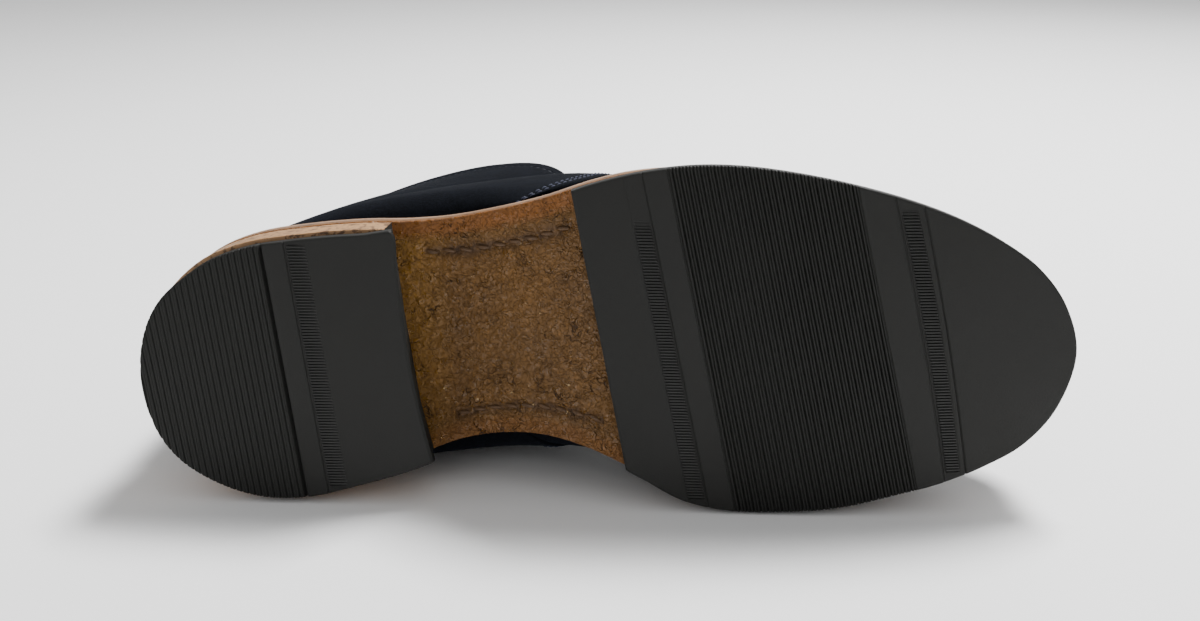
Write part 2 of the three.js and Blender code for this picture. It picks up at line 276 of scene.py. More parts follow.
def chord_columns(low, high, count):
    """Places along a chord: close together at its ends and evenly spaced between."""
    span = high - low
    scale = min(1, span / 10)
    near = np.array(EDGE_STEPS) * scale
    middle = np.linspace(near[-1], span - near[-1], count)[1:-1]
    return low + np.concatenate([near, middle, span - near[::-1]])


def plate(name, rows, row_x, face_z, back_z, materials, count, inset=0.0, rounding=0.6, front=1,
          attributes=False):
    """A layer of the sole, built of rows across it: its walked-on face, the wall round it and a plain back.

    row_x(v, y) is a row's line in plan and face_z(v, x, y, away) the height of its face, where away is the
    distance from the edge. materials are the face's, the wall's and the back's, and front is the index of
    the one at the front end. With attributes the face carries its distance from the edge, "away", and how
    deep the seams press it in, "pressed".
    """
    line = outline(inset)
    loops, places = [], []
    for v in rows:
        ends = chord(line, row_x, v)
        if ends is None:
            continue
        y = chord_columns(*ends, count)
        loops.append(np.stack([row_x(v, y), y], 1))
        places.append(v)
    loops = np.array(loops)
    row_count, column_count = loops.shape[:2]
    flat = loops.reshape(-1, 2)
    away = edge_distance(flat, line)
    lift = rounding * (1 - np.sqrt(1 - np.clip(1 - away / rounding, 0, 1) ** 2))
    z = face_z(np.repeat(places, column_count), flat[:, 0], flat[:, 1], away) + lift
    z = z.reshape(row_count, column_count)
    back = back_z(flat[:, 0]).reshape(row_count, column_count)
    face = np.concatenate([loops, z[..., None]], 2)
    kept = [*range(0, column_count - 1, BACK_STRIDE), column_count - 1]
    rear = np.concatenate([loops, back[..., None]], 2)[:, kept]
    walls = []
    for side in (0, -1):
        steps = [z[:, side] * (1 - t) + back[:, side] * t for t in WALL_STEPS]
        walls.append(np.stack([np.concatenate([loops[:, side], height[:, None]], 1) for height in steps], 1))
    points = np.concatenate([walls[0][:, ::-1], face, walls[1], rear[:, ::-1]], 1)
    total, wall_count = points.shape[1], len(WALL_STEPS)
    faces = grid_faces(row_count, total, wrap=True)
    ring = [1] * wall_count + [0] * (column_count - 1) + [1] * wall_count + [2] * (len(kept) + 1)
    kinds = ring * (row_count - 1)
    for row, kind in ((0, 1), (row_count - 1, front)):
        for k, (a, b) in enumerate(zip(kept, kept[1:])):
            ahead = list(range(wall_count + a, wall_count + b + 1))
            right = [wall_count + b + 1, wall_count + b + 2] if b == kept[-1] else []
            left = [1, 2] if a == 0 else []
            faces.append([row * total + n for n in (*ahead, *right, total - 2 - k, total - 1 - k, *left)])
            kinds.append(kind)
    extra = None
    if attributes:
        extra = {}
        for label, values in (("away", away), ("pressed", seam_channel(flat[:, 0], flat[:, 1]))):
            inside = np.zeros((row_count, total))
            inside[:, wall_count:wall_count + column_count] = values.reshape(z.shape)
            extra[label] = inside.ravel()
    return make_mesh(name, points.reshape(-1, 3), faces, materials, kinds, extra=extra)


def row_places(*spans):
    """Row places from spans of (start, end, pitch)."""
    places = [spans[-1][1]]
    for start, end, pitch in spans:
        places.extend(np.linspace(start, end, max(2, round((end - start) / pitch)), endpoint=False))
    return np.array(sorted(places))


def straight_x(v, y):
    """Rows straight across the sole."""
    return v + 0 * y


def level(height):
    """A layer's face or back at one height."""
    return lambda first, *others: 0 * first + height


# ---------------------------------------------------------------- materials
def new_material(name, color, roughness):
    material = bpy.data.materials.new(name)
    material.use_nodes = True
    shader = material.node_tree.nodes["Principled BSDF"]
    shader.inputs["Base Color"].default_value = (*color, 1)
    shader.inputs["Roughness"].default_value = roughness
    return material, material.node_tree, shader


def scaled(color, share):
    return tuple(channel * share for channel in color)


def node(tree, kind, inputs, output=0, **settings):
    """An output of a new shader node, whose inputs are numbers, colours or other nodes' outputs."""
    made = tree.nodes.new("ShaderNode" + kind)
    for label, value in settings.items():
        setattr(made, label, value)
    for socket, value in inputs.items():
        if isinstance(value, bpy.types.NodeSocket):
            tree.links.new(value, made.inputs[socket])
        else:
            made.inputs[socket].default_value = value
    return made.outputs[output]


def point_value(tree, label):
    """A value that the mesh carries at its points."""
    return node(tree, "Attribute", {}, "Fac", attribute_name=label)


def object_place(tree, scale=(1, 1, 1)):
    """The place in the shoe frame, in metres times a scale along each axis."""
    place = node(tree, "TexCoord", {}, "Object")
    return node(tree, "Mapping", {"Vector": place, "Scale": scale})


def noise(tree, place, scale, detail=3.0, roughness=0.5, output="Fac"):
    inputs = {"Vector": place, "Scale": scale, "Detail": detail, "Roughness": roughness}
    return node(tree, "TexNoise", inputs, output)


def cells(tree, place, scale):
    """Distance from the nearest of many scattered places."""
    return node(tree, "TexVoronoi", {"Vector": place, "Scale": scale}, "Distance")


def ramp(tree, value, *stops):
    """Colours or greys by value: stops are (position, colour)."""
    made = tree.nodes.new("ShaderNodeValToRGB")
    elements = made.color_ramp.elements
    while len(elements) < len(stops):
        elements.new(0.5)
    for element, (position, color) in zip(elements, stops):
        element.position = position
        element.color = (*color, 1) if isinstance(color, tuple) else (color, color, color, 1)
    tree.links.new(value, made.inputs["Fac"])
    return made.outputs["Color"]


def calc(tree, operation, *values):
    """A sum or another operation on numbers and outputs."""
    return node(tree, "Math", dict(enumerate(values)), operation=operation)


def mixed(tree, factor, first, second):
    """The first colour, turning to the second as the factor goes to 1."""
    first, second = ((*color, 1) if isinstance(color, tuple) else color for color in (first, second))
    return node(tree, "Mix", {0: factor, 6: first, 7: second}, 2, data_type="RGBA")


def axes(tree, place):
    split = tree.nodes.new("ShaderNodeSeparateXYZ")
    tree.links.new(place, split.inputs[0])
    return split.outputs


def bumped(tree, shader, height, distance):
    """Relief from a height of 0 to 1 that stands for a distance in millimetres."""
    normal = node(tree, "Bump", {"Height": height, "Distance": distance * MM}, "Normal")
    tree.links.new(normal, shader.inputs["Normal"])


def rubber_material(name, color, roughness, wear):
    """Moulded rubber: nearly black, dusty in patches, with a fine grain."""
    material, tree, shader = new_material(name, color, roughness)
    place = object_place(tree)
    patches = noise(tree, place, 45, 5, 0.6)
    dusty = ramp(tree, patches, (0.3, color), (0.75, scaled(color, wear)))
    tree.links.new(dusty, shader.inputs["Base Color"])
    gloss = ramp(tree, patches, (0.3, roughness - 0.07), (0.7, roughness + 0.08))
    tree.links.new(gloss, shader.inputs["Roughness"])
    bumped(tree, shader, noise(tree, place, 1500, 2), 0.05)
    shader.inputs["Specular IOR Level"].default_value = 0.22
    return material


def thin_lines(tree, value, sharpness):
    """1 along the middle contour of a noise, falling off quickly beside it."""
    off = calc(tree, "ABSOLUTE", calc(tree, "SUBTRACT", value, 0.5))
    return calc(tree, "MAXIMUM", calc(tree, "MULTIPLY_ADD", off, -4.0 * sharpness, 1.0), 0.0)


def warped_place(tree, place, scale, amount):
    """Places pushed about by noise, so that patterns lose their straight edges."""
    push = noise(tree, place, scale, output="Color")
    return node(tree, "VectorMath", {0: push, 1: (amount * MM,) * 3, 2: place}, operation="MULTIPLY_ADD")


def crepe_material():
    """The bare sole in front of the heel: amber, crinkled, glossy and orange at its edges, with painted
    shade in its creases and along its seams, painted glints, and painted light towards the heel.
    """
    material, tree, shader = new_material("sole_tan", (0.09, 0.04, 0.01), 0.36)
    place = object_place(tree)
    along, across, _ = axes(tree, place)
    warped = warped_place(tree, place, 190, 4)
    creases_coarse = thin_lines(tree, noise(tree, warped, 260, 2, 0.5), 9)
    creases_fine = thin_lines(tree, noise(tree, warped, 560, 2, 0.5), 6)
    crinkles = noise(tree, warped, 430, 4, 0.6)
    broad = noise(tree, place, 55, 4, 0.6)
    patchy = ramp(tree, noise(tree, place, 120, 2), (0.5, 0.0), (0.66, 1.0))
    lines = calc(tree, "MULTIPLY_ADD", creases_coarse, patchy, calc(tree, "MULTIPLY", creases_fine, 0.35))
    amber = ramp(tree, broad, (0.25, (0.086, 0.0375, 0.0045)), (0.5, (0.114, 0.05, 0.0058)),
                 (0.78, (0.156, 0.069, 0.0098)))
    flecks = ramp(tree, noise(tree, warped, 900, 2), (0.56, 0.0), (0.72, 0.6))
    amber = mixed(tree, flecks, amber, (0.2, 0.09, 0.016))
    # Painted light: the colour is lighter and yellower towards the heel, lifting the shade that the heel
    # block casts there.
    heel_painted_light = ramp(tree, calc(tree, "MULTIPLY", along, 10), (0.86, 0.9), (1.0, 0.0))
    amber = mixed(tree, heel_painted_light, amber, (0.23, 0.11, 0.015))
    ragged = calc(tree, "MULTIPLY_ADD", crinkles, 3.5, point_value(tree, "away"))
    edge = ramp(tree, calc(tree, "MULTIPLY", ragged, 0.1), (0.55, 1.0), (0.85, 0.0))
    lateral = ramp(tree, calc(tree, "MULTIPLY_ADD", across, 10, 0.5), (0.3, 1.0), (0.6, 0.4))
    orange = mixed(tree, calc(tree, "MULTIPLY", edge, lateral), amber, (0.18, 0.062, 0.0055))
    # Painted shade: the colour darkens along the crease lines and in the crinkles' hollows beside the
    # pressed seams.
    folds = ramp(tree, crinkles, (0.4, 0.85), (0.62, 0.1))
    seam_hollow_shade = calc(tree, "MULTIPLY", point_value(tree, "pressed"), folds)
    dark = calc(tree, "MAXIMUM", calc(tree, "MULTIPLY", lines, 0.9), seam_hollow_shade)
    shaded = mixed(tree, dark, orange, (0.024, 0.01, 0.003))
    # Painted glints: pale specks on the crinkles' crests, put into the colour as small highlights.
    glint_spots = ramp(tree, noise(tree, warped, 700, 3, 0.7), (0.66, 0.0), (0.7, 1.0))
    painted_glints = calc(tree, "MULTIPLY", glint_spots, ramp(tree, crinkles, (0.5, 0.0), (0.58, 0.8)))
    tree.links.new(mixed(tree, painted_glints, shaded, (0.5, 0.36, 0.17)), shader.inputs["Base Color"])
    tree.links.new(ramp(tree, crinkles, (0.48, 0.6), (0.6, 0.1)), shader.inputs["Roughness"])
    shader.inputs["Specular IOR Level"].default_value = 0.4
    height = calc(tree, "SUBTRACT", calc(tree, "MULTIPLY", crinkles, 1.6), lines)
    bumped(tree, shader, height, 0.58)
    return material


def edge_material(name, light, dark, layer, dash_share):
    """A sole's stacked edge: thin layers along the sole, broken by short dark dashes."""
    material, tree, shader = new_material(name, light, 0.5)
    place = object_place(tree)
    dashes = noise(tree, object_place(tree, (0.4, 0.4, 0.4)), 1150, 3, 0.6)
    height = axes(tree, place)[2]
    wobble = calc(tree, "MULTIPLY", noise(tree, place, 70, 2), 0.0012)
    turns = calc(tree, "MULTIPLY", calc(tree, "ADD", height, wobble), 2 * math.pi / (layer * MM))
    lines = ramp(tree, calc(tree, "SINE", turns), (0.82, 0.0), (1.0, 0.55))
    blotch = ramp(tree, noise(tree, place, 90, 4), (0.35, light), (0.7, scaled(light, 0.72)))
    dashed = mixed(tree, ramp(tree, dashes, (dash_share, 0.0), (dash_share + 0.09, 0.85)), blotch, dark)
    tree.links.new(mixed(tree, lines, dashed, dark), shader.inputs["Base Color"])
    bumped(tree, shader, calc(tree, "SUBTRACT", 0.0, dashes), 0.12)
    return material


def suede_material(name, dark, light):
    """Napped leather: soft light and dark strokes, with a pale sheen at grazing angles."""
    material, tree, shader = new_material(name, dark, 0.95)
    place = object_place(tree)
    stroke = noise(tree, object_place(tree, (1, 0.45, 1)), 130, 6, 0.68)
    nap = noise(tree, place, 1300, 4, 0.75)
    tone = ramp(tree, stroke, (0.36, dark), (0.66, light))
    fibre = ramp(tree, nap, (0.42, 0.0), (0.62, 0.8))
    tree.links.new(mixed(tree, fibre, tone, scaled(light, 1.9)), shader.inputs["Base Color"])
    shader.inputs["Sheen Weight"].default_value = 0.026
    shader.inputs["Sheen Roughness"].default_value = 0.5
    shader.inputs["Sheen Tint"].default_value = (0.35, 0.45, 0.7, 1)
    shader.inputs["Specular IOR Level"].default_value = 0.08
    bumped(tree, shader, calc(tree, "ADD", nap, calc(tree, "MULTIPLY", stroke, 1.5)), 0.26)
    return material


def leather_material(name, color, roughness):
    material, tree, shader = new_material(name, color, roughness)
    place = object_place(tree)
    shade = ramp(tree, noise(tree, place, 50, 4), (0.3, scaled(color, 0.8)), (0.7, color))
    tree.links.new(shade, shader.inputs["Base Color"])
    bumped(tree, shader, cells(tree, place, 1300), 0.08)
    return material


def thread_material(name, color, pitch):
    """Twisted thread: fine ridges, with painted shade between them."""
    material, tree, shader = new_material(name, color, 0.6)
    twist = noise(tree, object_place(tree), 1000 / pitch, 2)
    # Painted shade: the colour darkens where the twist's grooves sink in.
    shade = ramp(tree, twist, (0.3, scaled(color, 0.55)), (0.65, color))
    tree.links.new(shade, shader.inputs["Base Color"])
    bumped(tree, shader, twist, 0.15)
    return material


RUBBER = rubber_material("tread_rubber", (0.0115, 0.0115, 0.0105), 0.6, 1.4)
# The walls and rims of the tread are a lighter copy of its rubber: a painted highlight along its edges.
RUBBER_WALL_HIGHLIGHT = rubber_material("tread_rubber_wall_painted_highlight", (0.017, 0.017, 0.016), 0.5, 1.3)
# The moulded ticks are a lighter, glossier copy of the rubber: their lighter colour is a painted highlight.
TICKS_HIGHLIGHT = rubber_material("tread_ticks_painted_highlight", (0.0165, 0.0165, 0.0155), 0.42, 1.3)
CREPE = crepe_material()
SOLE_EDGE = edge_material("sole_edge", (0.2, 0.095, 0.035), (0.045, 0.02, 0.008), 2.1, 0.53)
HEEL_EDGE = edge_material("stacked_heel", (0.44, 0.245, 0.112), (0.06, 0.026, 0.01), 2.65, 0.52)
WELT = edge_material("welt_strip", (0.36, 0.23, 0.15), (0.2, 0.1, 0.06), 2.4, 0.66)
SUEDE = suede_material("suede", (0.0007, 0.0009, 0.0014), (0.002, 0.0025, 0.004))
SUEDE_TONGUE = suede_material("suede_tongue", (0.0009, 0.0011, 0.002), (0.0024, 0.003, 0.0053))
LINING = leather_material("lining_leather", (0.4, 0.235, 0.115), 0.6)
SOCK = leather_material("sock_leather", (0.42, 0.26, 0.14), 0.55)
SOLE_THREAD = thread_material("sole_thread", (0.085, 0.038, 0.008), 0.9)
WELT_THREAD = thread_material("welt_thread", (0.3, 0.19, 0.1), 0.6)
SEAM_THREAD = thread_material("seam_thread", (0.034, 0.041, 0.08), 0.5)
EDGE_THREAD = thread_material("edge_thread", (0.009, 0.012, 0.024), 0.5)
LACE = thread_material("lace_cord", (0.009, 0.0115, 0.02), 0.8)
# A dark disc in each eyelet stands in for the hole: painted shade.
EYELET_HOLE_SHADE, _, _ = new_material("eyelet_hole_painted_shade", (0.01, 0.012, 0.018), 0.8)


# ---------------------------------------------------------------- lines, stitches and cords
def value_noise(x, y, pitch, seed):
    """Smooth seeded noise from 0 to 1 with a grain of one pitch."""
    table = np.random.default_rng(seed).random((64, 64))
    u, v = np.asarray(x) / pitch, np.asarray(y) / pitch
    i, j = np.floor(u).astype(int), np.floor(v).astype(int)
    a, b = smoothstep(u - i, 0, 1), smoothstep(v - j, 0, 1)
    corner = [table[(i + di) % 64, (j + dj) % 64] for di, dj in ((0, 0), (1, 0), (0, 1), (1, 1))]
    return (corner[0] * (1 - a) + corner[1] * a) * (1 - b) + (corner[2] * (1 - a) + corner[3] * a) * b


def interpolated(at, knots, points):
    """Points interpolated at places between knots."""
    return np.stack([np.interp(at, knots, points[:, k]) for k in range(3)], 1)


def resampled(points, pitch):
    """Places at one pitch along a line of points, and the line's direction there."""
    steps = np.linalg.norm(np.diff(points, axis=0), axis=1)
    length = np.concatenate([[0], np.cumsum(steps)])
    count = max(2, round(length[-1] / pitch))
    at = (np.arange(count) + 0.5) * length[-1] / count
    ahead, behind = (interpolated(at + step * pitch, length, points) for step in (0.3, -0.3))
    along = ahead - behind
    return interpolated(at, length, points), along / np.linalg.norm(along, axis=1, keepdims=True)


# A stitch's rings: place along it, and width and height as shares of its radius
STITCH_RINGS = ((-0.5, 0.05, -0.55), (-0.42, 0.6, -0.2), (-0.25, 0.95, 0.1), (0, 1.0, 0.2),
                (0.25, 0.95, 0.1), (0.42, 0.6, -0.2), (0.5, 0.05, -0.55))

# Pitch, length and radius of stitches
SOLE_STITCH = (5.8, 5.0, 0.78)
WELT_STITCH = (3.4, 2.7, 0.42)
SEAM_STITCH = (2.6, 1.8, 0.24)
EDGE_STITCH = (2.6, 1.8, 0.2)


def stitches(name, lines, size, material, sides=6, slant=0.0):
    """Rows of single stitches, half sunk.

    lines are (points, normals) pairs, and slant turns each stitch off its line.
    """
    pitch, length, radius = size
    points, faces = [], []
    for line, normals in lines:
        places, along = resampled(line, pitch)
        upward = interpolated(np.linspace(0, 1, len(places)), np.linspace(0, 1, len(normals)), normals)
        for place, direction, up in zip(places, along, upward):
            up = up - direction * (up @ direction)
            up /= np.linalg.norm(up)
            across = np.cross(direction, up)
            direction = direction * math.cos(slant) + across * math.sin(slant)
            across = np.cross(direction, up)
            start = len(points)
            for shift, width, height in STITCH_RINGS:
                middle = place + direction * shift * length + up * height * radius
                for k in range(sides):
                    angle = 2 * math.pi * k / sides
                    outward = across * math.cos(angle) + up * math.sin(angle)
                    points.append(middle + width * radius * outward)
            faces += grid_faces(len(STITCH_RINGS), sides, wrap=True, start=start)
    return make_mesh(name, points, faces, [material], merge=0.0001)


def tube(points, normals, radius, sides, flat):
    """The rings of a cord through a list of places, flattened along the normals."""
    along = np.gradient(points, axis=0)
    along /= np.linalg.norm(along, axis=1, keepdims=True)
    angles = 2 * np.pi * np.arange(sides) / sides
    rings = []
    for place, direction, up in zip(points, along, normals):
        up = up - direction * (up @ direction)
        up = up / np.linalg.norm(up)
        across = np.cross(direction, up)
        outward = np.outer(np.cos(angles), across) + flat * np.outer(np.sin(angles), up)
        rings.append(place + radius * outward)
    return np.array(rings)


def cord_mesh(name, paths, radius, material, sides, flat):
    """Cords with closed ends. paths are (points, normals) pairs."""
    points, faces = [], []
    for path, normals in paths:
        rings = tube(path, normals, radius, sides, flat)
        start = len(points)
        faces += grid_faces(len(rings), sides, wrap=True, start=start)
        last = start + (len(rings) - 1) * sides
        faces += [tuple(range(start, start + sides))[::-1], tuple(range(last, last + sides))]
        points += list(rings.reshape(-1, 3))
    return make_mesh(name, points, faces, [material], merge=0.0001)


# ---------------------------------------------------------------- the sole
# The half sole, by places along the shoe's middle line from its rear edge to the toe
TREAD_REAR = 149.5
REAR_BAND = (167.0, 173.0)
RIBS = (181.8, 239.1)
RIB_PITCH = 2.2
RIB_DEPTHS = (0.9, 0.6)
TOE_BAND = (250.0, 255.4)
TOE_STEP = 257.2
# Sideways lean of the half sole's rows
LEAN_PLACES = (TREAD_REAR, 182, 239, 252, 262, TOE_TIP[0])
ROW_LEANS = (0.19, 0.214, 0.25, 0.225, 0.21, 0.0)

# The heel, from the ribs at its back to its breast
HEEL_RIB_PITCH = 2.1
HEEL_RIB_DEPTHS = (0.5, 0.22)
HEEL_GROOVE = 46.1
HEEL_BAND = (54.3, 61.0)
HEEL_STRAIGHT = 62
HEEL_BREAST = 85.5
HEEL_LEAN = 0.113
HEEL_BACK_Z = 3.2
STACK_Z = (3.5, 14.8)
SOLE_REACH = 60

# Sunk bands and the moulded ticks in them: the bands' depths, the ticks' pitch, how far their strip stays
# inside the outline, how deep its border is sunk and how far its floor rises from there
BAND_DEPTH = 0.1
TOE_BAND_DEPTH = 0.15
TICK_PITCH = 0.96
STRIP_INSET = 0.9
BORDER_DEPTH = 0.3
FLOOR_RISE = 0.28


def groove(v, place, width, depth):
    return depth * np.exp(-(((v - place) / width) ** 2) * 2)


def ribbing(v, start, pitch, deep, shallow):
    """Deep grooves at one pitch with a shallow one half way between."""
    phase = np.mod((v - start) / pitch + 0.5, 1) - 0.5
    middle = np.mod((v - start) / pitch, 1) - 0.5
    return deep * np.exp(-((phase / 0.11) ** 2)) + shallow * np.exp(-((middle / 0.08) ** 2))


def within(v, low, high, soft=0.15):
    """1 between two places, with soft ends."""
    return smoothstep(v, low - soft, low + soft) * (1 - smoothstep(v, high - soft, high + soft))


def forefoot_x(v, y):
    """Rows of the half sole: they lean, and bow forward near the toe."""
    lean = np.interp(v, LEAN_PLACES, ROW_LEANS)
    bow = 1.5 * (1 - (np.asarray(y) / 48) ** 2) * np.exp(-(((v - 254) / 7) ** 2))
    return v + lean * y + bow


def forefoot_face(v, x, y, away):
    """The half sole's ground face: ribs, two sunk bands, and the lines beside them."""
    edge = 0.5 * (1 - smoothstep(v, TREAD_REAR, TREAD_REAR + 1.1)) ** 2
    ribs = ribbing(v, RIBS[0] + RIB_PITCH / 2, RIB_PITCH, *RIB_DEPTHS) * within(v, *RIBS)
    recess = BAND_DEPTH * within(v, *REAR_BAND) + TOE_BAND_DEPTH * within(v, *TOE_BAND)
    lines = sum(groove(v, place, 0.35, 0.35) for place in (REAR_BAND[1] + 0.2, RIBS[0] - 0.5, RIBS[1] + 0.6))
    step = groove(v, TOE_STEP, 0.5, 0.45) + groove(v, TOE_BAND[0] - 0.5, 0.3, 0.35)
    return ground_z(x) + edge + ribs + recess + lines + step


def breast_x(y):
    """The heel's breast in plan, cut back at its lateral corner."""
    y = np.clip(y, -SOLE_REACH, SOLE_REACH)
    corner = np.clip((-y - 39) / 3.5, 0, 1) ** 2 * 2.0
    return BREAST_CENTRE[0] - np.sqrt(BREAST_RADIUS**2 - (y - BREAST_CENTRE[1]) ** 2) - corner


def heel_x(v, y):
    """Rows of the heel: leaning, and bending to the breast's curve from the straight part on."""
    slanted = np.minimum(v, HEEL_STRAIGHT) + HEEL_LEAN * y
    share = np.clip((v - HEEL_STRAIGHT) / (HEEL_BREAST - HEEL_STRAIGHT), 0, 1)
    return slanted * (1 - share) + breast_x(y) * share


def heel_face(v, x, y, away):
    """The heel's ground face: ribs up to a deep groove, a sunk band and a rounded breast."""
    ribs = ribbing(v, HEEL_GROOVE, HEEL_RIB_PITCH, *HEEL_RIB_DEPTHS) * within(v, -5, HEEL_GROOVE - 0.4)
    deep = groove(v, HEEL_GROOVE, 0.75, 1.6)
    recess = BAND_DEPTH * within(v, *HEEL_BAND)
    line = groove(v, HEEL_BAND[0] - 0.5, 0.3, 0.3)
    front = 0.6 * smoothstep(v, HEEL_BREAST - 1.0, HEEL_BREAST) ** 2
    return ribs + deep + recess + line + front


def block_x(v, y):
    """Rows of the heel block: straight at the back, bending to the undercut breast."""
    share = np.clip(v / HEEL_BREAST, 0, 1)
    return v * (1 - share) + (breast_x(y) - BREAST_UNDERCUT) * share


def tick_strip(name, row_x, span, base_z, height, reach, fade=0.0, soft_end=1.2):
    """A strip of moulded ticks that run along the shoe, side by side across it.

    reach is how far its lateral and medial ends are from the outline, fade how much weaker the ticks get
    along the shoe, and soft_end the length over which the lateral end rises.
    """
    line = outline()
    lateral, medial = chord(line, row_x, sum(span) / 2)
    low, high = lateral + reach[0], medial - reach[1]
    count = int((high - low) / TICK_PITCH)
    y = np.linspace(low, low + count * TICK_PITCH, count * 8 + 1)
    phase = np.mod((y - low) / TICK_PITCH, 1)
    wave = smoothstep(np.abs(phase - 0.5), 0.26, 0.44)
    ends_ease = smoothstep(y - y[0], 0, soft_end) * smoothstep(y[-1] - y, 0, 0.9)
    start, end = span
    edge = np.array((0, 0.25, 0.6, 1.2))
    points = []
    for v in (*(start + edge), *np.linspace(start + 1.6, end - 1.6, 4), *(end - edge[::-1])):
        ease = smoothstep(min(v - start, end - v), 0, 0.6)
        weaker = 1 - fade * (v - start) / (end - start)
        near, far = chord(line, row_x, v)
        kept = np.clip(y, near + STRIP_INSET, far - STRIP_INSET)
        x = row_x(v, kept)
        z = base_z(x) + BORDER_DEPTH - (FLOOR_RISE + height * weaker * (1 - wave)) * ease * ends_ease
        points.append(np.stack([x, kept, z], 1))
    return sheet(name, np.array(points), TICKS_HIGHLIGHT)


def forefoot_tread():
    rows = row_places((TREAD_REAR, 151, 0.15), (151, 166, 1.5), (166, 182, 0.2), (182, 240, RIB_PITCH / 18),
                      (240, 249, 0.9), (249, 258, 0.2), (258, 288, 1.5), (288, 296, 0.6), (296, 299.2, 0.12))
    tread = plate("forefoot_tread", rows, forefoot_x, forefoot_face, lambda x: outsole_z(x) - PIECE_GAP,
                  [RUBBER, RUBBER_WALL_HIGHLIGHT, RUBBER], count=40)
    first = tick_strip("forefoot_ticks", forefoot_x, REAR_BAND, lambda x: ground_z(x) + BAND_DEPTH, 0.42,
                       (10, 1), soft_end=9)
    second = tick_strip("toe_ticks", forefoot_x, TOE_BAND, lambda x: ground_z(x) + TOE_BAND_DEPTH, 0.5,
                        (1, 1), soft_end=5)
    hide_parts("forefoot_rubber")
    return [tread, first, second]


def heel_inset(points):
    """The heel's rubber stands back a little on its lateral side."""
    x, y = points[:, 0], points[:, 1]
    return 1.4 * smoothstep(-y, 8, 26) * smoothstep(x, 6, 20) * (1 - smoothstep(x, 72, 85))


def heel_tread():
    rows = row_places((-1.3, 1, 0.12), (1, 46.8, HEEL_RIB_PITCH / 18), (46.8, 53, 1), (53, 60.5, 0.2),
                      (60.5, 83.5, 1.5), (83.5, HEEL_BREAST, 0.16))
    tread = plate("heel_tread", rows, heel_x, heel_face, level(HEEL_BACK_Z),
                  [RUBBER, RUBBER_WALL_HIGHLIGHT, RUBBER], count=40, inset=heel_inset, front=0)
    ticks = tick_strip("heel_ticks", heel_x, HEEL_BAND, level(BAND_DEPTH), 0.55, (2.2, 1), fade=0.6)
    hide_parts("heel_top_piece")
    return [tread, ticks]


def heel_block():
    rows = row_places((-0.2, 2, 0.12), (2, 84, 1.5), (84, HEEL_BREAST, 0.2))
    block = plate("heel_block", rows, block_x, level(STACK_Z[0]), level(STACK_Z[1]),
                  [HEEL_EDGE, HEEL_EDGE, HEEL_EDGE, RUBBER], count=30, inset=0.2, rounding=0.3, front=3)
    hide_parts("heel_stack")
    return [block]


# Stitch rows on the bare waist: lateral and medial, x and y
WAIST_SEAMS = (
    ((90, -32), (98, -32.7), (105.8, -33.4), (112, -34.8),
     (119, -36.4), (126, -38.3), (132, -40.4), (139, -43)),
    ((99, 23.2), (107, 20.8), (114.4, 19.2), (121, 18),
     (128, 17.3), (135, 17.7), (141.3, 18.7), (149, 20.6)),
)
SEAM_WIDTH = 2.1
WAIST_DEPTH = 0.72
# Ridged noise on the waist: size, pitch and seed
WAIST_GRAIN = ((0.3, 2.9, 8), (0.34, 1.7, 9), (0.26, 1.0, 10))


def seam_line(row):
    """A smooth line in plan through a seam's places."""
    row = np.array(row, dtype=float)
    x = np.linspace(row[0, 0], row[-1, 0], 120)
    return np.stack([x, np.interp(x, row[:, 0], row[:, 1])], 1)


def seam_channel(x, y):
    """How deep the waist is pressed in along its seams."""
    depth = np.zeros(len(x))
    for row in WAIST_SEAMS:
        line = seam_line(row)
        at = np.interp(x, line[:, 0], line[:, 1], left=1e3, right=1e3)
        depth = np.maximum(depth, np.exp(-(((y - at) / SEAM_WIDTH) ** 2)))
    return depth


def waist_face(v, x, y, away):
    """The bare sole: pebbled in the middle, smoother along its edges, pressed in along the seams."""
    u = x + 1.8 * value_noise(x + 11, y + 80, 2.6, 21)
    w = y + 1.8 * value_noise(x + 31, y + 60, 2.6, 22)
    coarse = value_noise(u + 40, w + 90, 5.2, 3)
    ridged = sum(size * (1 - 2 * np.abs(value_noise(u + 60, w + 70, pitch, seed) - 0.5))
                 for size, pitch, seed in WAIST_GRAIN)
    calm = 0.35 + 0.65 * smoothstep(away, 2.5, 7.5)
    relief = (0.3 * coarse + ridged - 0.75) * calm
    return outsole_z(x) + PIECE_GAP - relief * WAIST_DEPTH + WAIST_DEPTH * seam_channel(x, y)


def front_inset(points):
    """Under the forefoot the leather layers stand back from the rubber's edge."""
    return 1.6 * smoothstep(points[:, 0], 150, 182)


def waist_sole():
    rows = row_places((0, 3, 0.3), (3, 79, 4), (79, 158, 0.36), (158, 290, 4), (290, 299, 0.5))
    sole = plate("waist_sole", rows, straight_x, waist_face, lambda x: outsole_z(x) + SOLE_THICKNESS,
                 [CREPE, SOLE_EDGE, SOLE_EDGE], count=226, inset=front_inset, rounding=0.5, attributes=True)
    lines = []
    for row in WAIST_SEAMS:
        line = seam_line(row)
        x, y = line[:, 0], line[:, 1]
        z = waist_face(x, x, y, np.full(len(x), 20.0))
        z = np.convolve(np.pad(z, 10, mode="edge"), np.ones(21) / 21, mode="valid") + 0.15
        lines.append((np.stack([x, y, z], 1), np.tile([0.0, 0, -1], (len(x), 1))))
    seam = stitches("sole_stitches", lines, SOLE_STITCH, SOLE_THREAD, sides=9, slant=0.24)
    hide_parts("outsole")
    return [sole, seam]


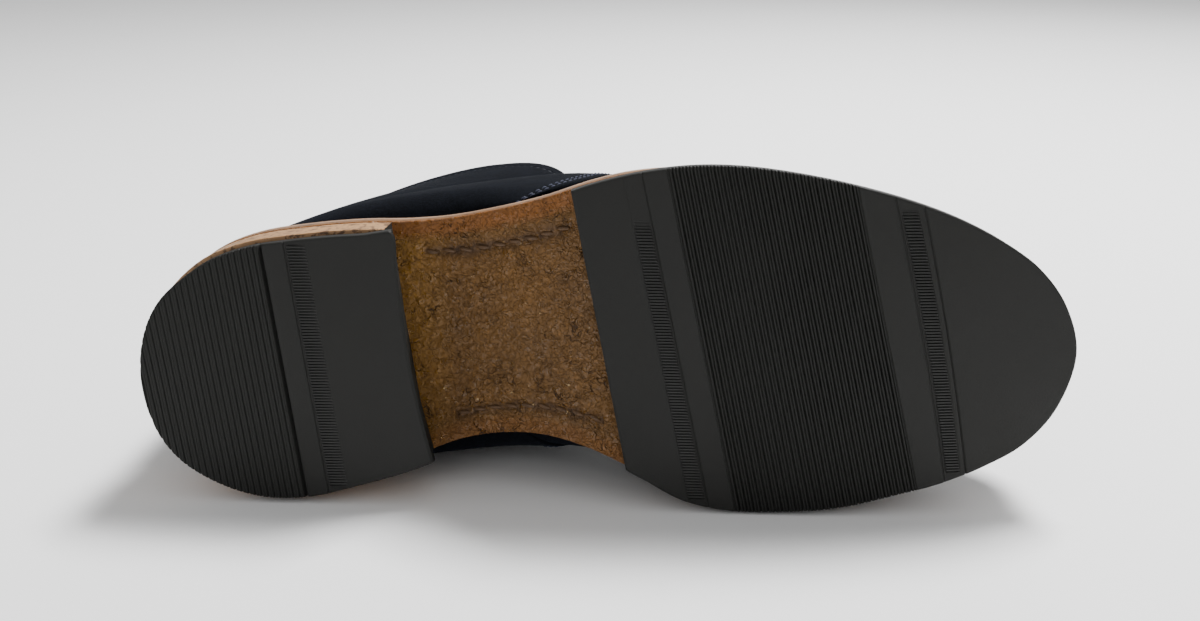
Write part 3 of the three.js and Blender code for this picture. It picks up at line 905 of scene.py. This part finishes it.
def welt_strip():
    rows = row_places((0, 3, 0.3), (3, 290, 3), (290, 299, 0.5))
    strip = plate("welt_strip", rows, straight_x, lambda v, x, y, away: welt_z(x), feather_z,
                  [WELT, WELT, WELT], count=30, inset=front_inset, rounding=0.3)
    line = outline(lambda points: front_inset(points) + 1.5)
    around = np.concatenate([line, line[:1]])
    points = np.stack([around[:, 0], around[:, 1], feather_z(around[:, 0])], 1)
    upward = np.tile([0.0, 0, 1], (len(points), 1))
    seam = stitches("welt_stitches", [(points, upward)], WELT_STITCH, WELT_THREAD)
    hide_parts("welt")
    return [strip, seam]


# ---------------------------------------------------------------- the upper
def section_rows(position):
    """Rows of the section table at places between the named ones."""
    position = np.asarray(position, dtype=float)
    index = np.minimum(LAST_SECTION - 1, np.floor(position)).astype(int)
    before, start, end, after = (UPPER_SECTIONS[np.clip(index + k, 0, LAST_SECTION)] for k in (-1, 0, 1, 2))
    return hermite((position - index)[..., None], start, (end - before) / 2, end, (after - start) / 2)


def sole_sides():
    """The sole's lateral and medial edge as lines of y over x."""
    line = outline()
    sides = []
    for sign in (-1, 1):
        part = line[sign * (line[:, 1] - 2) > 0]
        part = part[np.argsort(part[:, 0])]
        sides.append((part[:, 0], part[:, 1]))
    return sides


SOLE_SIDES = sole_sides()
# The upper's foot: how high its tuck begins, how far it stays inside the sole's edge, how deep it is sunk
TUCK_HEIGHT = 8.0
TUCK_INSET = 1.2
FOOT_SINK = 1.3


def tucked(point, height):
    """Where the upper overhangs the sole, its foot curves in to meet the welt."""
    above = point[..., 2] - feather_z(point[..., 0])
    round_in = np.sqrt(np.clip(1 - (1 - np.clip(above / TUCK_HEIGHT, 0, 1)) ** 2, 0, 1))
    for (x, y), sign in zip(SOLE_SIDES, (-1, 1)):
        limit = sign * np.interp(point[..., 0], x, y) - TUCK_INSET + height
        over = sign * point[..., 1] - limit
        pulled = sign * (limit + over * round_in)
        point[..., 1] = np.where((over > 0) & (above < TUCK_HEIGHT), pulled, point[..., 1])
    return point


def surface(position, angle, height=0.0):
    """Places over the upper's outside: section, angle from the top by the medial side, height outwards."""
    position, angle, height = np.broadcast_arrays(np.asarray(position, dtype=float), angle, height)
    row = section_rows(position)
    top, low = row[..., 0:3], row[..., 3:6]
    lateral, medial, widest, top_power, low_power = (row[..., k] for k in range(6, 11))
    fullest = low + (top - low) * widest[..., None]
    upwards = np.cos(angle) > 0
    power = np.where(upwards, top_power, low_power)
    span = np.where(upwards[..., None], top, low) - fullest
    reach = np.linalg.norm(span, axis=-1)
    along = np.abs(np.cos(angle)) ** (2 / power) * (reach + height) / reach
    half = np.where(np.sin(angle) > 0, medial - fullest[..., 1], lateral + fullest[..., 1]) + height
    point = fullest + span * along[..., None]
    point[..., 1] += np.sign(np.sin(angle)) * np.abs(np.sin(angle)) ** (2 / power) * half
    point[..., 0] += height * np.clip(1 - position / 1.5, 0, 1)
    return tucked(point, height)


def first_below(values, grid):
    """Where a row of values first falls below zero along a grid, or the grid's end."""
    below = values < 0
    if not below.any() or below[0]:
        return grid[-1] if not below.any() else grid[0]
    k = int(np.argmax(below))
    share = values[k - 1] / (values[k - 1] - values[k])
    return grid[k - 1] + share * (grid[k] - grid[k - 1])


FINE_ANGLES = np.linspace(0, math.pi, 500)
FINE_SECTIONS = np.linspace(0, LAST_SECTION, 800)


def feather_angle(position, side, height):
    """The angle at which a section comes down to the welt; pi where it closes above it."""
    points = surface(position, side * FINE_ANGLES, height)
    return first_below(points[:, 2] - feather_z(points[:, 0]) + FOOT_SINK, FINE_ANGLES)


def throat_half(x):
    """Half the throat's width at a place along the shoe, with a round base."""
    base_x, base_half = THROAT_BASE
    top_x, top_half = THROAT_TOP
    straight = base_half + (top_half - base_half) * (base_x - x) / (base_x - top_x)
    round_end = np.sqrt(np.maximum(0, base_half**2 - np.maximum(0, x - base_x) ** 2))
    return np.where(x > base_x, round_end, straight)


def throat_angle(position, side, height):
    """The angle at which a section comes to the throat's edge; 0 where it misses the throat."""
    angles = FINE_ANGLES[:200]
    points = surface(position, side * angles, height)
    inside = throat_half(points[:, 0]) - np.abs(points[:, 1] - THROAT_Y)
    return first_below(inside, angles) if inside[0] > 0 else 0.0


SPAN_GRID = np.linspace(0, LAST_SECTION, 230)
# Heights over the section table's surface at which the quarters, the vamp and the lining are laid out
QUARTER_LEVEL = 1.3
VAMP_LEVEL = 0.0
LINING_LEVEL = -1.9


def angle_limits(side, height):
    """Interpolated feather and throat angles over all sections."""
    foot = np.array([feather_angle(p, side, height) for p in SPAN_GRID])
    throat = np.array([throat_angle(p, side, height) if p > 9.5 else 0.0 for p in SPAN_GRID])
    return foot, throat


LIMITS = {(side, height): angle_limits(side, height)
          for side in (-1, 1) for height in (VAMP_LEVEL, QUARTER_LEVEL, LINING_LEVEL)}


def spread(position, share, side, height, from_throat=True):
    """The angle at a share of the way from the throat (or the top ridge) down to the welt."""
    foot, throat = LIMITS[side, height]
    low = np.interp(position, SPAN_GRID, throat) if from_throat else 0.0
    high = np.interp(position, SPAN_GRID, foot)
    return side * (low + (high - low) * share)


# The quarter's front edge: its place and height where it leaves the welt, and how far it goes from there
EDGE_START = (121.0, 16.3)
EDGE_REACH = (42.0, 72.0)


def quarter_edge(z):
    """Where the quarter's front edge is at a height: it sweeps forward from the welt and then climbs."""
    rise = np.clip((z - EDGE_START[1]) / EDGE_REACH[1], 0, 1.3)
    return EDGE_START[0] + EDGE_REACH[0] * rise**0.42


def column(share, side, height):
    """Points of a line along the shoe, at a share of the way from the throat down to the welt."""
    return surface(FINE_SECTIONS, spread(FINE_SECTIONS, share, side, height), height)


def column_start(share, side, height, offset=0.0):
    """The section at which a line along the shoe reaches the quarter's front edge."""
    points = column(share, side, height)
    return first_below(points[:, 0] - quarter_edge(points[:, 2]) - offset, FINE_SECTIONS)


def column_end(share, side, height, drop=0.0):
    """The section at which a line along the shoe reaches the collar's edge."""
    points = column(share, side, height)
    under = collar_z(points[:, 0]) - drop - points[:, 2]
    under[FINE_SECTIONS < 9] = 1
    return first_below(under, FINE_SECTIONS)


# Folds across the vamp: section, width and size
VAMP_FOLDS = ((8.15, 0.16, 1.0), (8.75, 0.15, 0.8))


def creases(position, angle, side):
    """Soft folds: across the vamp behind the toes, and along the lateral side of the quarter."""
    flex = sum(size * np.exp(-(((position - place) / width) ** 2)) for place, width, size in VAMP_FOLDS)
    flex = -0.7 * flex * np.clip(1.15 - np.abs(angle), 0, 1)
    wave = value_noise(position * 9 + 50, np.abs(angle) * 26 + 20 + 15 * side, 9, 4) - 0.5
    return flex + 0.9 * wave * smoothstep(position, 1, 5)


def edge_profile(distance, radius):
    """1 away from an edge and falling round to 0 at it."""
    return np.sqrt(np.clip(1 - (1 - np.clip(distance / radius, 0, 1)) ** 2, 0, 1))


# The quarters: height of their rounded edges' middle, thickness on either side of it, and how far below the
# collar's edge its bead and its seam are
EDGE_MIDDLE = -0.6
SUEDE_THICKNESS = 1.1
LINING_THICKNESS = 1.3
COLLAR_BEAD = 4.2
COLLAR_SEAM = 9.5


def quarter_grid(side):
    """A side's quarter as a grid of section and share: rows from its front edge to the collar."""
    share = np.concatenate([[0, 0.002, 0.006, 0.012, 0.02], np.linspace(0.03, 1, 110)])
    start = np.array([column_start(t, side, QUARTER_LEVEL) for t in share])
    end = np.array([column_end(t, side, QUARTER_LEVEL) for t in share])
    steps = np.concatenate([[0, 0.0008, 0.0025, 0.005, 0.009], np.linspace(0.014, 0.984, 170),
                            [0.989, 0.993, 0.996, 0.9985, 1]])
    position = start[None] + (end - start)[None] * steps[:, None]
    return position, np.broadcast_to(share[None], position.shape)


def lengths_from(points, axis):
    """Distance along a grid's rows or columns from its first line."""
    steps = np.linalg.norm(np.diff(points, axis=axis), axis=2)
    return np.cumsum(np.insert(steps, 0, 0, axis=axis), axis=axis)


FLOOR_NORMAL = np.array(SHOE.inverted().to_3x3() @ Vector((0, 0, 1)))
FLOOR_HEIGHT = SHOE.translation.z / MM


def rested(points):
    """Points pressed up out of the floor that the boot lies on."""
    below = np.minimum(0, points @ FLOOR_NORMAL + FLOOR_HEIGHT - 0.05)
    return points - below[..., None] * FLOOR_NORMAL


def quarter(side, name):
    """One quarter: suede outside, lining inside, with rounded collar, front and facing edges."""
    position, share = quarter_grid(side)
    angle = spread(position, share, side, QUARTER_LEVEL)
    middle = surface(position, angle, -0.3)
    front = lengths_from(middle, 0)
    collar = front[-1:] - front
    facing = np.where(position > 10.0, lengths_from(middle, 1), 9.0)
    round_edge = np.minimum(edge_profile(collar, 1.5), edge_profile(facing, 1.3))
    folds = creases(position, angle, side) * smoothstep(collar, 3, 14)
    outside = EDGE_MIDDLE + SUEDE_THICKNESS * round_edge + folds
    outside = np.where(front < 1.0, -0.7 + (outside + 0.7) * edge_profile(front, 1.0), outside)
    # A bead along the collar, with the groove of its seam below
    outside += 0.5 * np.exp(-(((collar - COLLAR_BEAD) / 2.6) ** 2)) * (collar > 0.6)
    outside -= 0.35 * np.exp(-(((collar - COLLAR_SEAM) / 0.8) ** 2))
    inside = EDGE_MIDDLE - LINING_THICKNESS * round_edge
    lining = spread(position, share, side, LINING_LEVEL)
    outer = rested(surface(position, angle, outside))
    inner = surface(position, angle + (lining - angle) * np.clip(front / 8, 0, 1), inside)
    return lined_sheet(name, outer, inner, [SUEDE, LINING], 0.01)


# The vamp: how far it goes under the quarters, the section where it ends in the throat, its tip's bulge
VAMP_TUCK = 7
VAMP_END = 11.2
TIP_BULGE = 1.6


def vamp():
    """The front of the upper, from the toe to under the quarters, closed at its tip by a small cap."""
    share = np.linspace(0, 1, 90)
    steps = np.linspace(0, 1, 190)
    halves = []
    for side in (-1, 1):
        end = np.array([min(column_start(t, side, VAMP_LEVEL, offset=-VAMP_TUCK), VAMP_END) for t in share])
        position = end[None] * steps[:, None]
        shares = np.broadcast_to(share[None], position.shape)
        angle = spread(position, shares, side, VAMP_LEVEL, from_throat=False)
        height = creases(position, angle, side)
        halves.append(surface(position, angle, height - 0.6)[:, ::side])
    grid = np.concatenate([halves[0], halves[1][:, 1:]], 1)
    rows, columns = grid.shape[:2]
    points, faces = list(grid.reshape(-1, 3)), grid_faces(rows, columns)
    rim = grid[0]
    centre = (rim[0] + rim[-1]) / 2
    above = 0
    for share_in in (0.75, 0.5, 0.25):
        below = len(points)
        points += list(centre + (rim - centre) * share_in + np.array([1 - share_in**2, 0, 0]) * TIP_BULGE)
        faces += [(above + c, below + c, below + c + 1, above + c + 1) for c in range(columns - 1)]
        above = below
    tip = len(points)
    points.append(centre + np.array([TIP_BULGE, 0, 0]))
    faces += [(above + c, tip, above + c + 1) for c in range(columns - 1)]
    return make_mesh("suede_vamp", points, faces, [SUEDE], merge=0.01)


def surface_line(position, angle, height):
    """A line over the upper and the directions away from it."""
    points = surface(position, angle, height)
    return points, surface(position, angle, np.asarray(height) + 1.0) - points


# How far behind the quarter's front edge its two rows are, and the sections along a facing's row
SEAM_SETBACKS = (2.6, 5.0)
FACING_SPAN = (10.9, 17.6)


def upper_stitches():
    """Double rows along the quarters' front edges, and single ones beside the facings and the collar."""
    seams, edges = [], []
    for side in (-1, 1):
        share = np.linspace(0.03, 0.99 if side < 0 else 0.92, 120)
        for back in SEAM_SETBACKS:
            position = np.array([column_start(t, side, QUARTER_LEVEL, offset=-back) for t in share])
            angle = spread(position, share, side, QUARTER_LEVEL)
            seams.append(surface_line(position, angle, 0.55 + creases(position, angle, side)))
        position = np.linspace(*FACING_SPAN, 100)
        facing = side * (np.interp(position, SPAN_GRID, LIMITS[side, QUARTER_LEVEL][1]) + 0.045)
        edges.append(surface_line(position, facing, 0.5 + creases(position, facing, side)))
        share = np.linspace(0.02, 1, 140)
        position = np.array([column_end(t, side, QUARTER_LEVEL, COLLAR_SEAM) for t in share])
        angle = spread(position, share, side, QUARTER_LEVEL)
        edges.append(surface_line(position, angle, 0.3 + creases(position, angle, side) * 0.6))
    return [stitches("seam_stitches", seams, SEAM_STITCH, SEAM_THREAD),
            stitches("edge_stitches", edges, EDGE_STITCH, EDGE_THREAD)]


# The strip over the heel's back seam: its sections and half its width as an angle
STRIP_SPAN = (14.0, 17.9)
STRIP_HALF = 0.16


def back_strip():
    """The narrow strip over the heel's back seam, ending just under the collar."""
    position = np.linspace(*STRIP_SPAN, 90)
    lines = []
    for share in (0, 0.03, 0.1, 0.25, 0.5, 0.75, 0.9, 0.97, 1.0):
        lift = 1.2 + 1.1 * edge_profile(min(share, 1 - share), 0.12)
        lines.append(surface(position, math.pi - STRIP_HALF * (2 * share - 1), lift - 0.4))
    grid = np.stack(lines, 1)
    under = (grid[:, :, 2] < collar_z(grid[:, :, 0]) - 0.5).all(1)
    last = len(position) if under.all() else int(np.argmin(under))
    return sheet("back_strip", grid[:last], SUEDE, merge=0.001)


# The sock: how high over the welt its top and its rim's foot are, its level inside the upper's outside, the
# sections that it goes through, and the depth of its dish
SOCK_RISE = 3.3
RIM_RISE = 1.0
SOCK_LEVEL = -3.2
SOCK_SPAN = (0.25, 13.2)
SOCK_DISH = 0.8


def sock_edge(position, side, rise):
    """Where the sock meets the inside of the upper, at a rise above the welt."""
    points = surface(position, side * FINE_ANGLES, SOCK_LEVEL + 0.2)
    angle = first_below(points[:, 2] - feather_z(points[:, 0]) - rise, FINE_ANGLES)
    return surface(position, side * angle, SOCK_LEVEL)


def footbed():
    """The sock: a dished tan sheet inside the upper, with a rim turned down along its edge."""
    share = np.concatenate([[0, 0.01, 0.03], np.linspace(0.06, 0.94, 24), [0.97, 0.99, 1]])
    dish = SOCK_DISH * np.sin(np.pi * share)
    rounding = SOCK_DISH * (1 - edge_profile(np.minimum(share, 1 - share), 0.03))
    rows = []
    for position in np.linspace(*SOCK_SPAN, 130):
        ends = [sock_edge(position, side, SOCK_RISE) for side in (-1, 1)]
        rims = [sock_edge(position, side, RIM_RISE) for side in (-1, 1)]
        line = ends[0] + (ends[1] - ends[0]) * share[:, None]
        line[:, 2] = feather_z(line[:, 0]) + SOCK_RISE - rounding - dish
        rows.append(np.vstack([rims[0], line, rims[1]]))
    piece = sheet("footbed", np.array(rows), SOCK, merge=0.01)
    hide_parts("insole")
    return [piece]


# The tongue's level under the surface, its top's height and its foot's place along the shoe
TONGUE_LEVEL = -7.4
TONGUE_TOP = 137.0
TONGUE_FOOT = 166.0


def boot_tongue():
    """The tongue, under the facings, with rounded edges."""
    border = np.array((0.9, 0.95, 0.98, 0.995, 1))
    half = np.concatenate([-border[::-1], np.linspace(-0.84, 0.84, 60), border])
    steps = np.concatenate([np.linspace(0, 0.985, 120), [0.99, 0.994, 0.997, 0.999, 1]])
    outer, inner = [], []
    for t in half:
        angle = t * 0.75
        line = surface(FINE_SECTIONS, angle, TONGUE_LEVEL + 0.2)
        end = first_below(np.where(FINE_SECTIONS < 10, 1, TONGUE_TOP - line[:, 2]), FINE_SECTIONS)
        start = first_below(line[:, 0] - TONGUE_FOOT, FINE_SECTIONS)
        position = start + (end - start) * steps
        thick = np.minimum(edge_profile(1 - abs(t), 0.05), edge_profile(end - position, 0.12))
        ripple = 0.4 * (value_noise(position * 8 + 5, np.full(len(position), t * 12 + 30), 7, 9) - 0.5)
        outer.append(surface(position, angle, TONGUE_LEVEL + 1.0 * thick + ripple))
        inner.append(surface(position, angle, TONGUE_LEVEL - 1.0 * thick + ripple))
    piece = lined_sheet("boot_tongue", np.stack(outer, 1), np.stack(inner, 1), [SUEDE_TONGUE, LINING], 0.005)
    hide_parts("tongue")
    return [piece]


# ---------------------------------------------------------------- laces and eyelets
LACE_HEIGHT = 1.8
LACE_UNDER = -4.2
LACE_RADIUS = 1.3
CROSSING_STEPS = 24
LACE_END = (0.5, -1.2, -2.9)


def crossing(start, end, side, height):
    """Section, angle and height from an eyelet on one side to one on the other."""
    share = np.linspace(0, 1, CROSSING_STEPS)
    first, last = EYELETS[start], EYELETS[end]
    position = first[0] + (last[0] - first[0]) * share
    angle = side * (first[1] + (-last[1] - first[1]) * share)
    return np.stack([position, angle, np.full(CROSSING_STEPS, height)], 1)


def softened(path):
    """A path with its corners rounded."""
    for _ in range(3):
        inner = 0.25 * path[:-2] + 0.5 * path[1:-1] + 0.25 * path[2:]
        path = np.vstack([path[:1], inner, path[-1:]])
    return path


def lace():
    """One lace: a bar over the lowest pair, then crossing under and over up to the top eyelets."""
    paths = []
    for side in (-1, 1):
        bar = crossing(0, 0, -side, LACE_HEIGHT)[CROSSING_STEPS // 2:]
        hidden = crossing(0, 1, side, LACE_UNDER)
        shown = crossing(1, 2, -side, LACE_HEIGHT)
        end = [[EYELETS[2][0], side * EYELETS[2][1], height] for height in LACE_END]
        path = softened(np.vstack([bar, hidden, shown, end]))
        paths.append(surface_line(*path.T))
    piece = cord_mesh("lace", paths, LACE_RADIUS, LACE, sides=14, flat=0.85)
    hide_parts("laces")
    return [piece]


EYELET_SIDES = 24
# Radius and height of an eyelet's rings, from the middle of its dark disc, painted shade in place of the
# hole, to the foot of its rim
EYELET_RINGS = ((0.05, 0.06), (1.9, 0.06), (2.0, 0.3), (2.3, 0.4), (2.7, 0.25), (2.85, -0.3))


def eyelets():
    """Punched holes: a pressed ring and, in it, a dark disc of painted shade in place of the opening."""
    points, faces, kinds = [], [], []
    for position, angle in EYELETS:
        for side in (-1, 1):
            at, normal = surface_line(position, side * angle, 0.55)
            normal /= np.linalg.norm(normal)
            first = np.cross(normal, (0.3, 0.9, 0.1))
            first /= np.linalg.norm(first)
            second = np.cross(normal, first)
            start = len(points)
            for radius, height in EYELET_RINGS:
                for k in range(EYELET_SIDES):
                    turn = 2 * math.pi * k / EYELET_SIDES
                    around = first * math.cos(turn) + second * math.sin(turn)
                    points.append(at + around * radius + normal * height)
            faces += grid_faces(len(EYELET_RINGS), EYELET_SIDES, wrap=True, start=start)
            kinds += [1] * EYELET_SIDES + [0] * (EYELET_SIDES * (len(EYELET_RINGS) - 2))
    piece = make_mesh("punched_eyelets", points, faces, [SUEDE, EYELET_HOLE_SHADE], kinds, merge=0.0001)
    return [piece]


def suede_upper():
    pieces = [vamp(), quarter(-1, "quarter_lateral"), quarter(1, "quarter_medial"), back_strip(),
              *upper_stitches()]
    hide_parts("upper")
    return pieces


# ---------------------------------------------------------------- stage
VIEW_AIM = Vector((148.0, -17.5, 0.0)) * MM
VIEW_TURN = math.radians(2.5)
VIEW_LIFT = math.radians(15)
VIEW_DISTANCE = 0.370
FLOOR_HALF = 12
FLOOR_CORNERS = ((-1, -1), (1, -1), (1, 1), (-1, 1))


def place_camera():
    """The camera: close to the sole and a little above its lateral edge."""
    turned = SHOE.to_3x3()
    away = Vector((math.sin(VIEW_TURN) * math.cos(VIEW_LIFT), -math.sin(VIEW_LIFT),
                   -math.cos(VIEW_TURN) * math.cos(VIEW_LIFT)))
    back = turned @ away
    right = (turned @ Vector((0, -1, 0))).cross(back).normalized()
    data = bpy.data.cameras.new("camera")
    data.sensor_width = 36
    data.lens = 35.7
    data.clip_start = 0.01
    camera = bpy.data.objects.new("camera", data)
    facing = Matrix((right, back.cross(right), back)).transposed()
    camera.matrix_world = Matrix.Translation(SHOE @ VIEW_AIM + back * VIEW_DISTANCE) @ facing.to_4x4()
    bpy.context.scene.collection.objects.link(camera)
    bpy.context.scene.camera = camera


def area_light(name, place, target, size, power):
    data = bpy.data.lights.new(name, "AREA")
    data.shape = "RECTANGLE"
    data.size, data.size_y = size
    data.energy = power
    light = bpy.data.objects.new(name, data)
    light.location = place
    light.rotation_euler = (Vector(place) - Vector(target)).to_track_quat("Z", "Y").to_euler()
    bpy.context.scene.collection.objects.link(light)


def make_stage():
    """A pale floor, a white surround that is brighter overhead, and soft lights."""
    mesh = bpy.data.meshes.new("floor")
    mesh.from_pydata([(x * FLOOR_HALF, y * FLOOR_HALF, 0) for x, y in FLOOR_CORNERS], [], [(0, 1, 2, 3)])
    floor = bpy.data.objects.new("floor", mesh)
    bpy.context.scene.collection.objects.link(floor)
    material, _, _ = new_material("floor", (0.95, 0.95, 0.95), 0.9)
    mesh.materials.append(material)
    world = bpy.data.worlds.new("studio")
    world.use_nodes = True
    bpy.context.scene.world = world
    tree = world.node_tree
    background = tree.nodes["Background"]
    heights = axes(tree, node(tree, "TexCoord", {}, "Generated"))[2]
    sky = ramp(tree, calc(tree, "MULTIPLY_ADD", heights, 0.5, 0.5), (0.45, 0.42), (0.62, 0.7), (0.95, 1.0))
    tree.links.new(sky, background.inputs["Color"])
    background.inputs["Strength"].default_value = 0.62
    area_light("overhead", (0.4, 0.4, 1.3), (0, 0, 0), (0.42, 0.34), 44)
    area_light("front", (-0.5, -1.3, 0.9), (0, 0, 0.05), (0.9, 0.7), 1.5)
    area_light("back", (0.6, 1.2, 0.9), (0, 0, 0.05), (0.9, 0.7), 6)


make_stage()
place_camera()

made = [*forefoot_tread(), *heel_tread(), *heel_block(), *waist_sole(), *welt_strip(),
        *suede_upper(), *boot_tongue(), *footbed(), *lace(), *eyelets()]
for piece in made:
    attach(piece, "root")
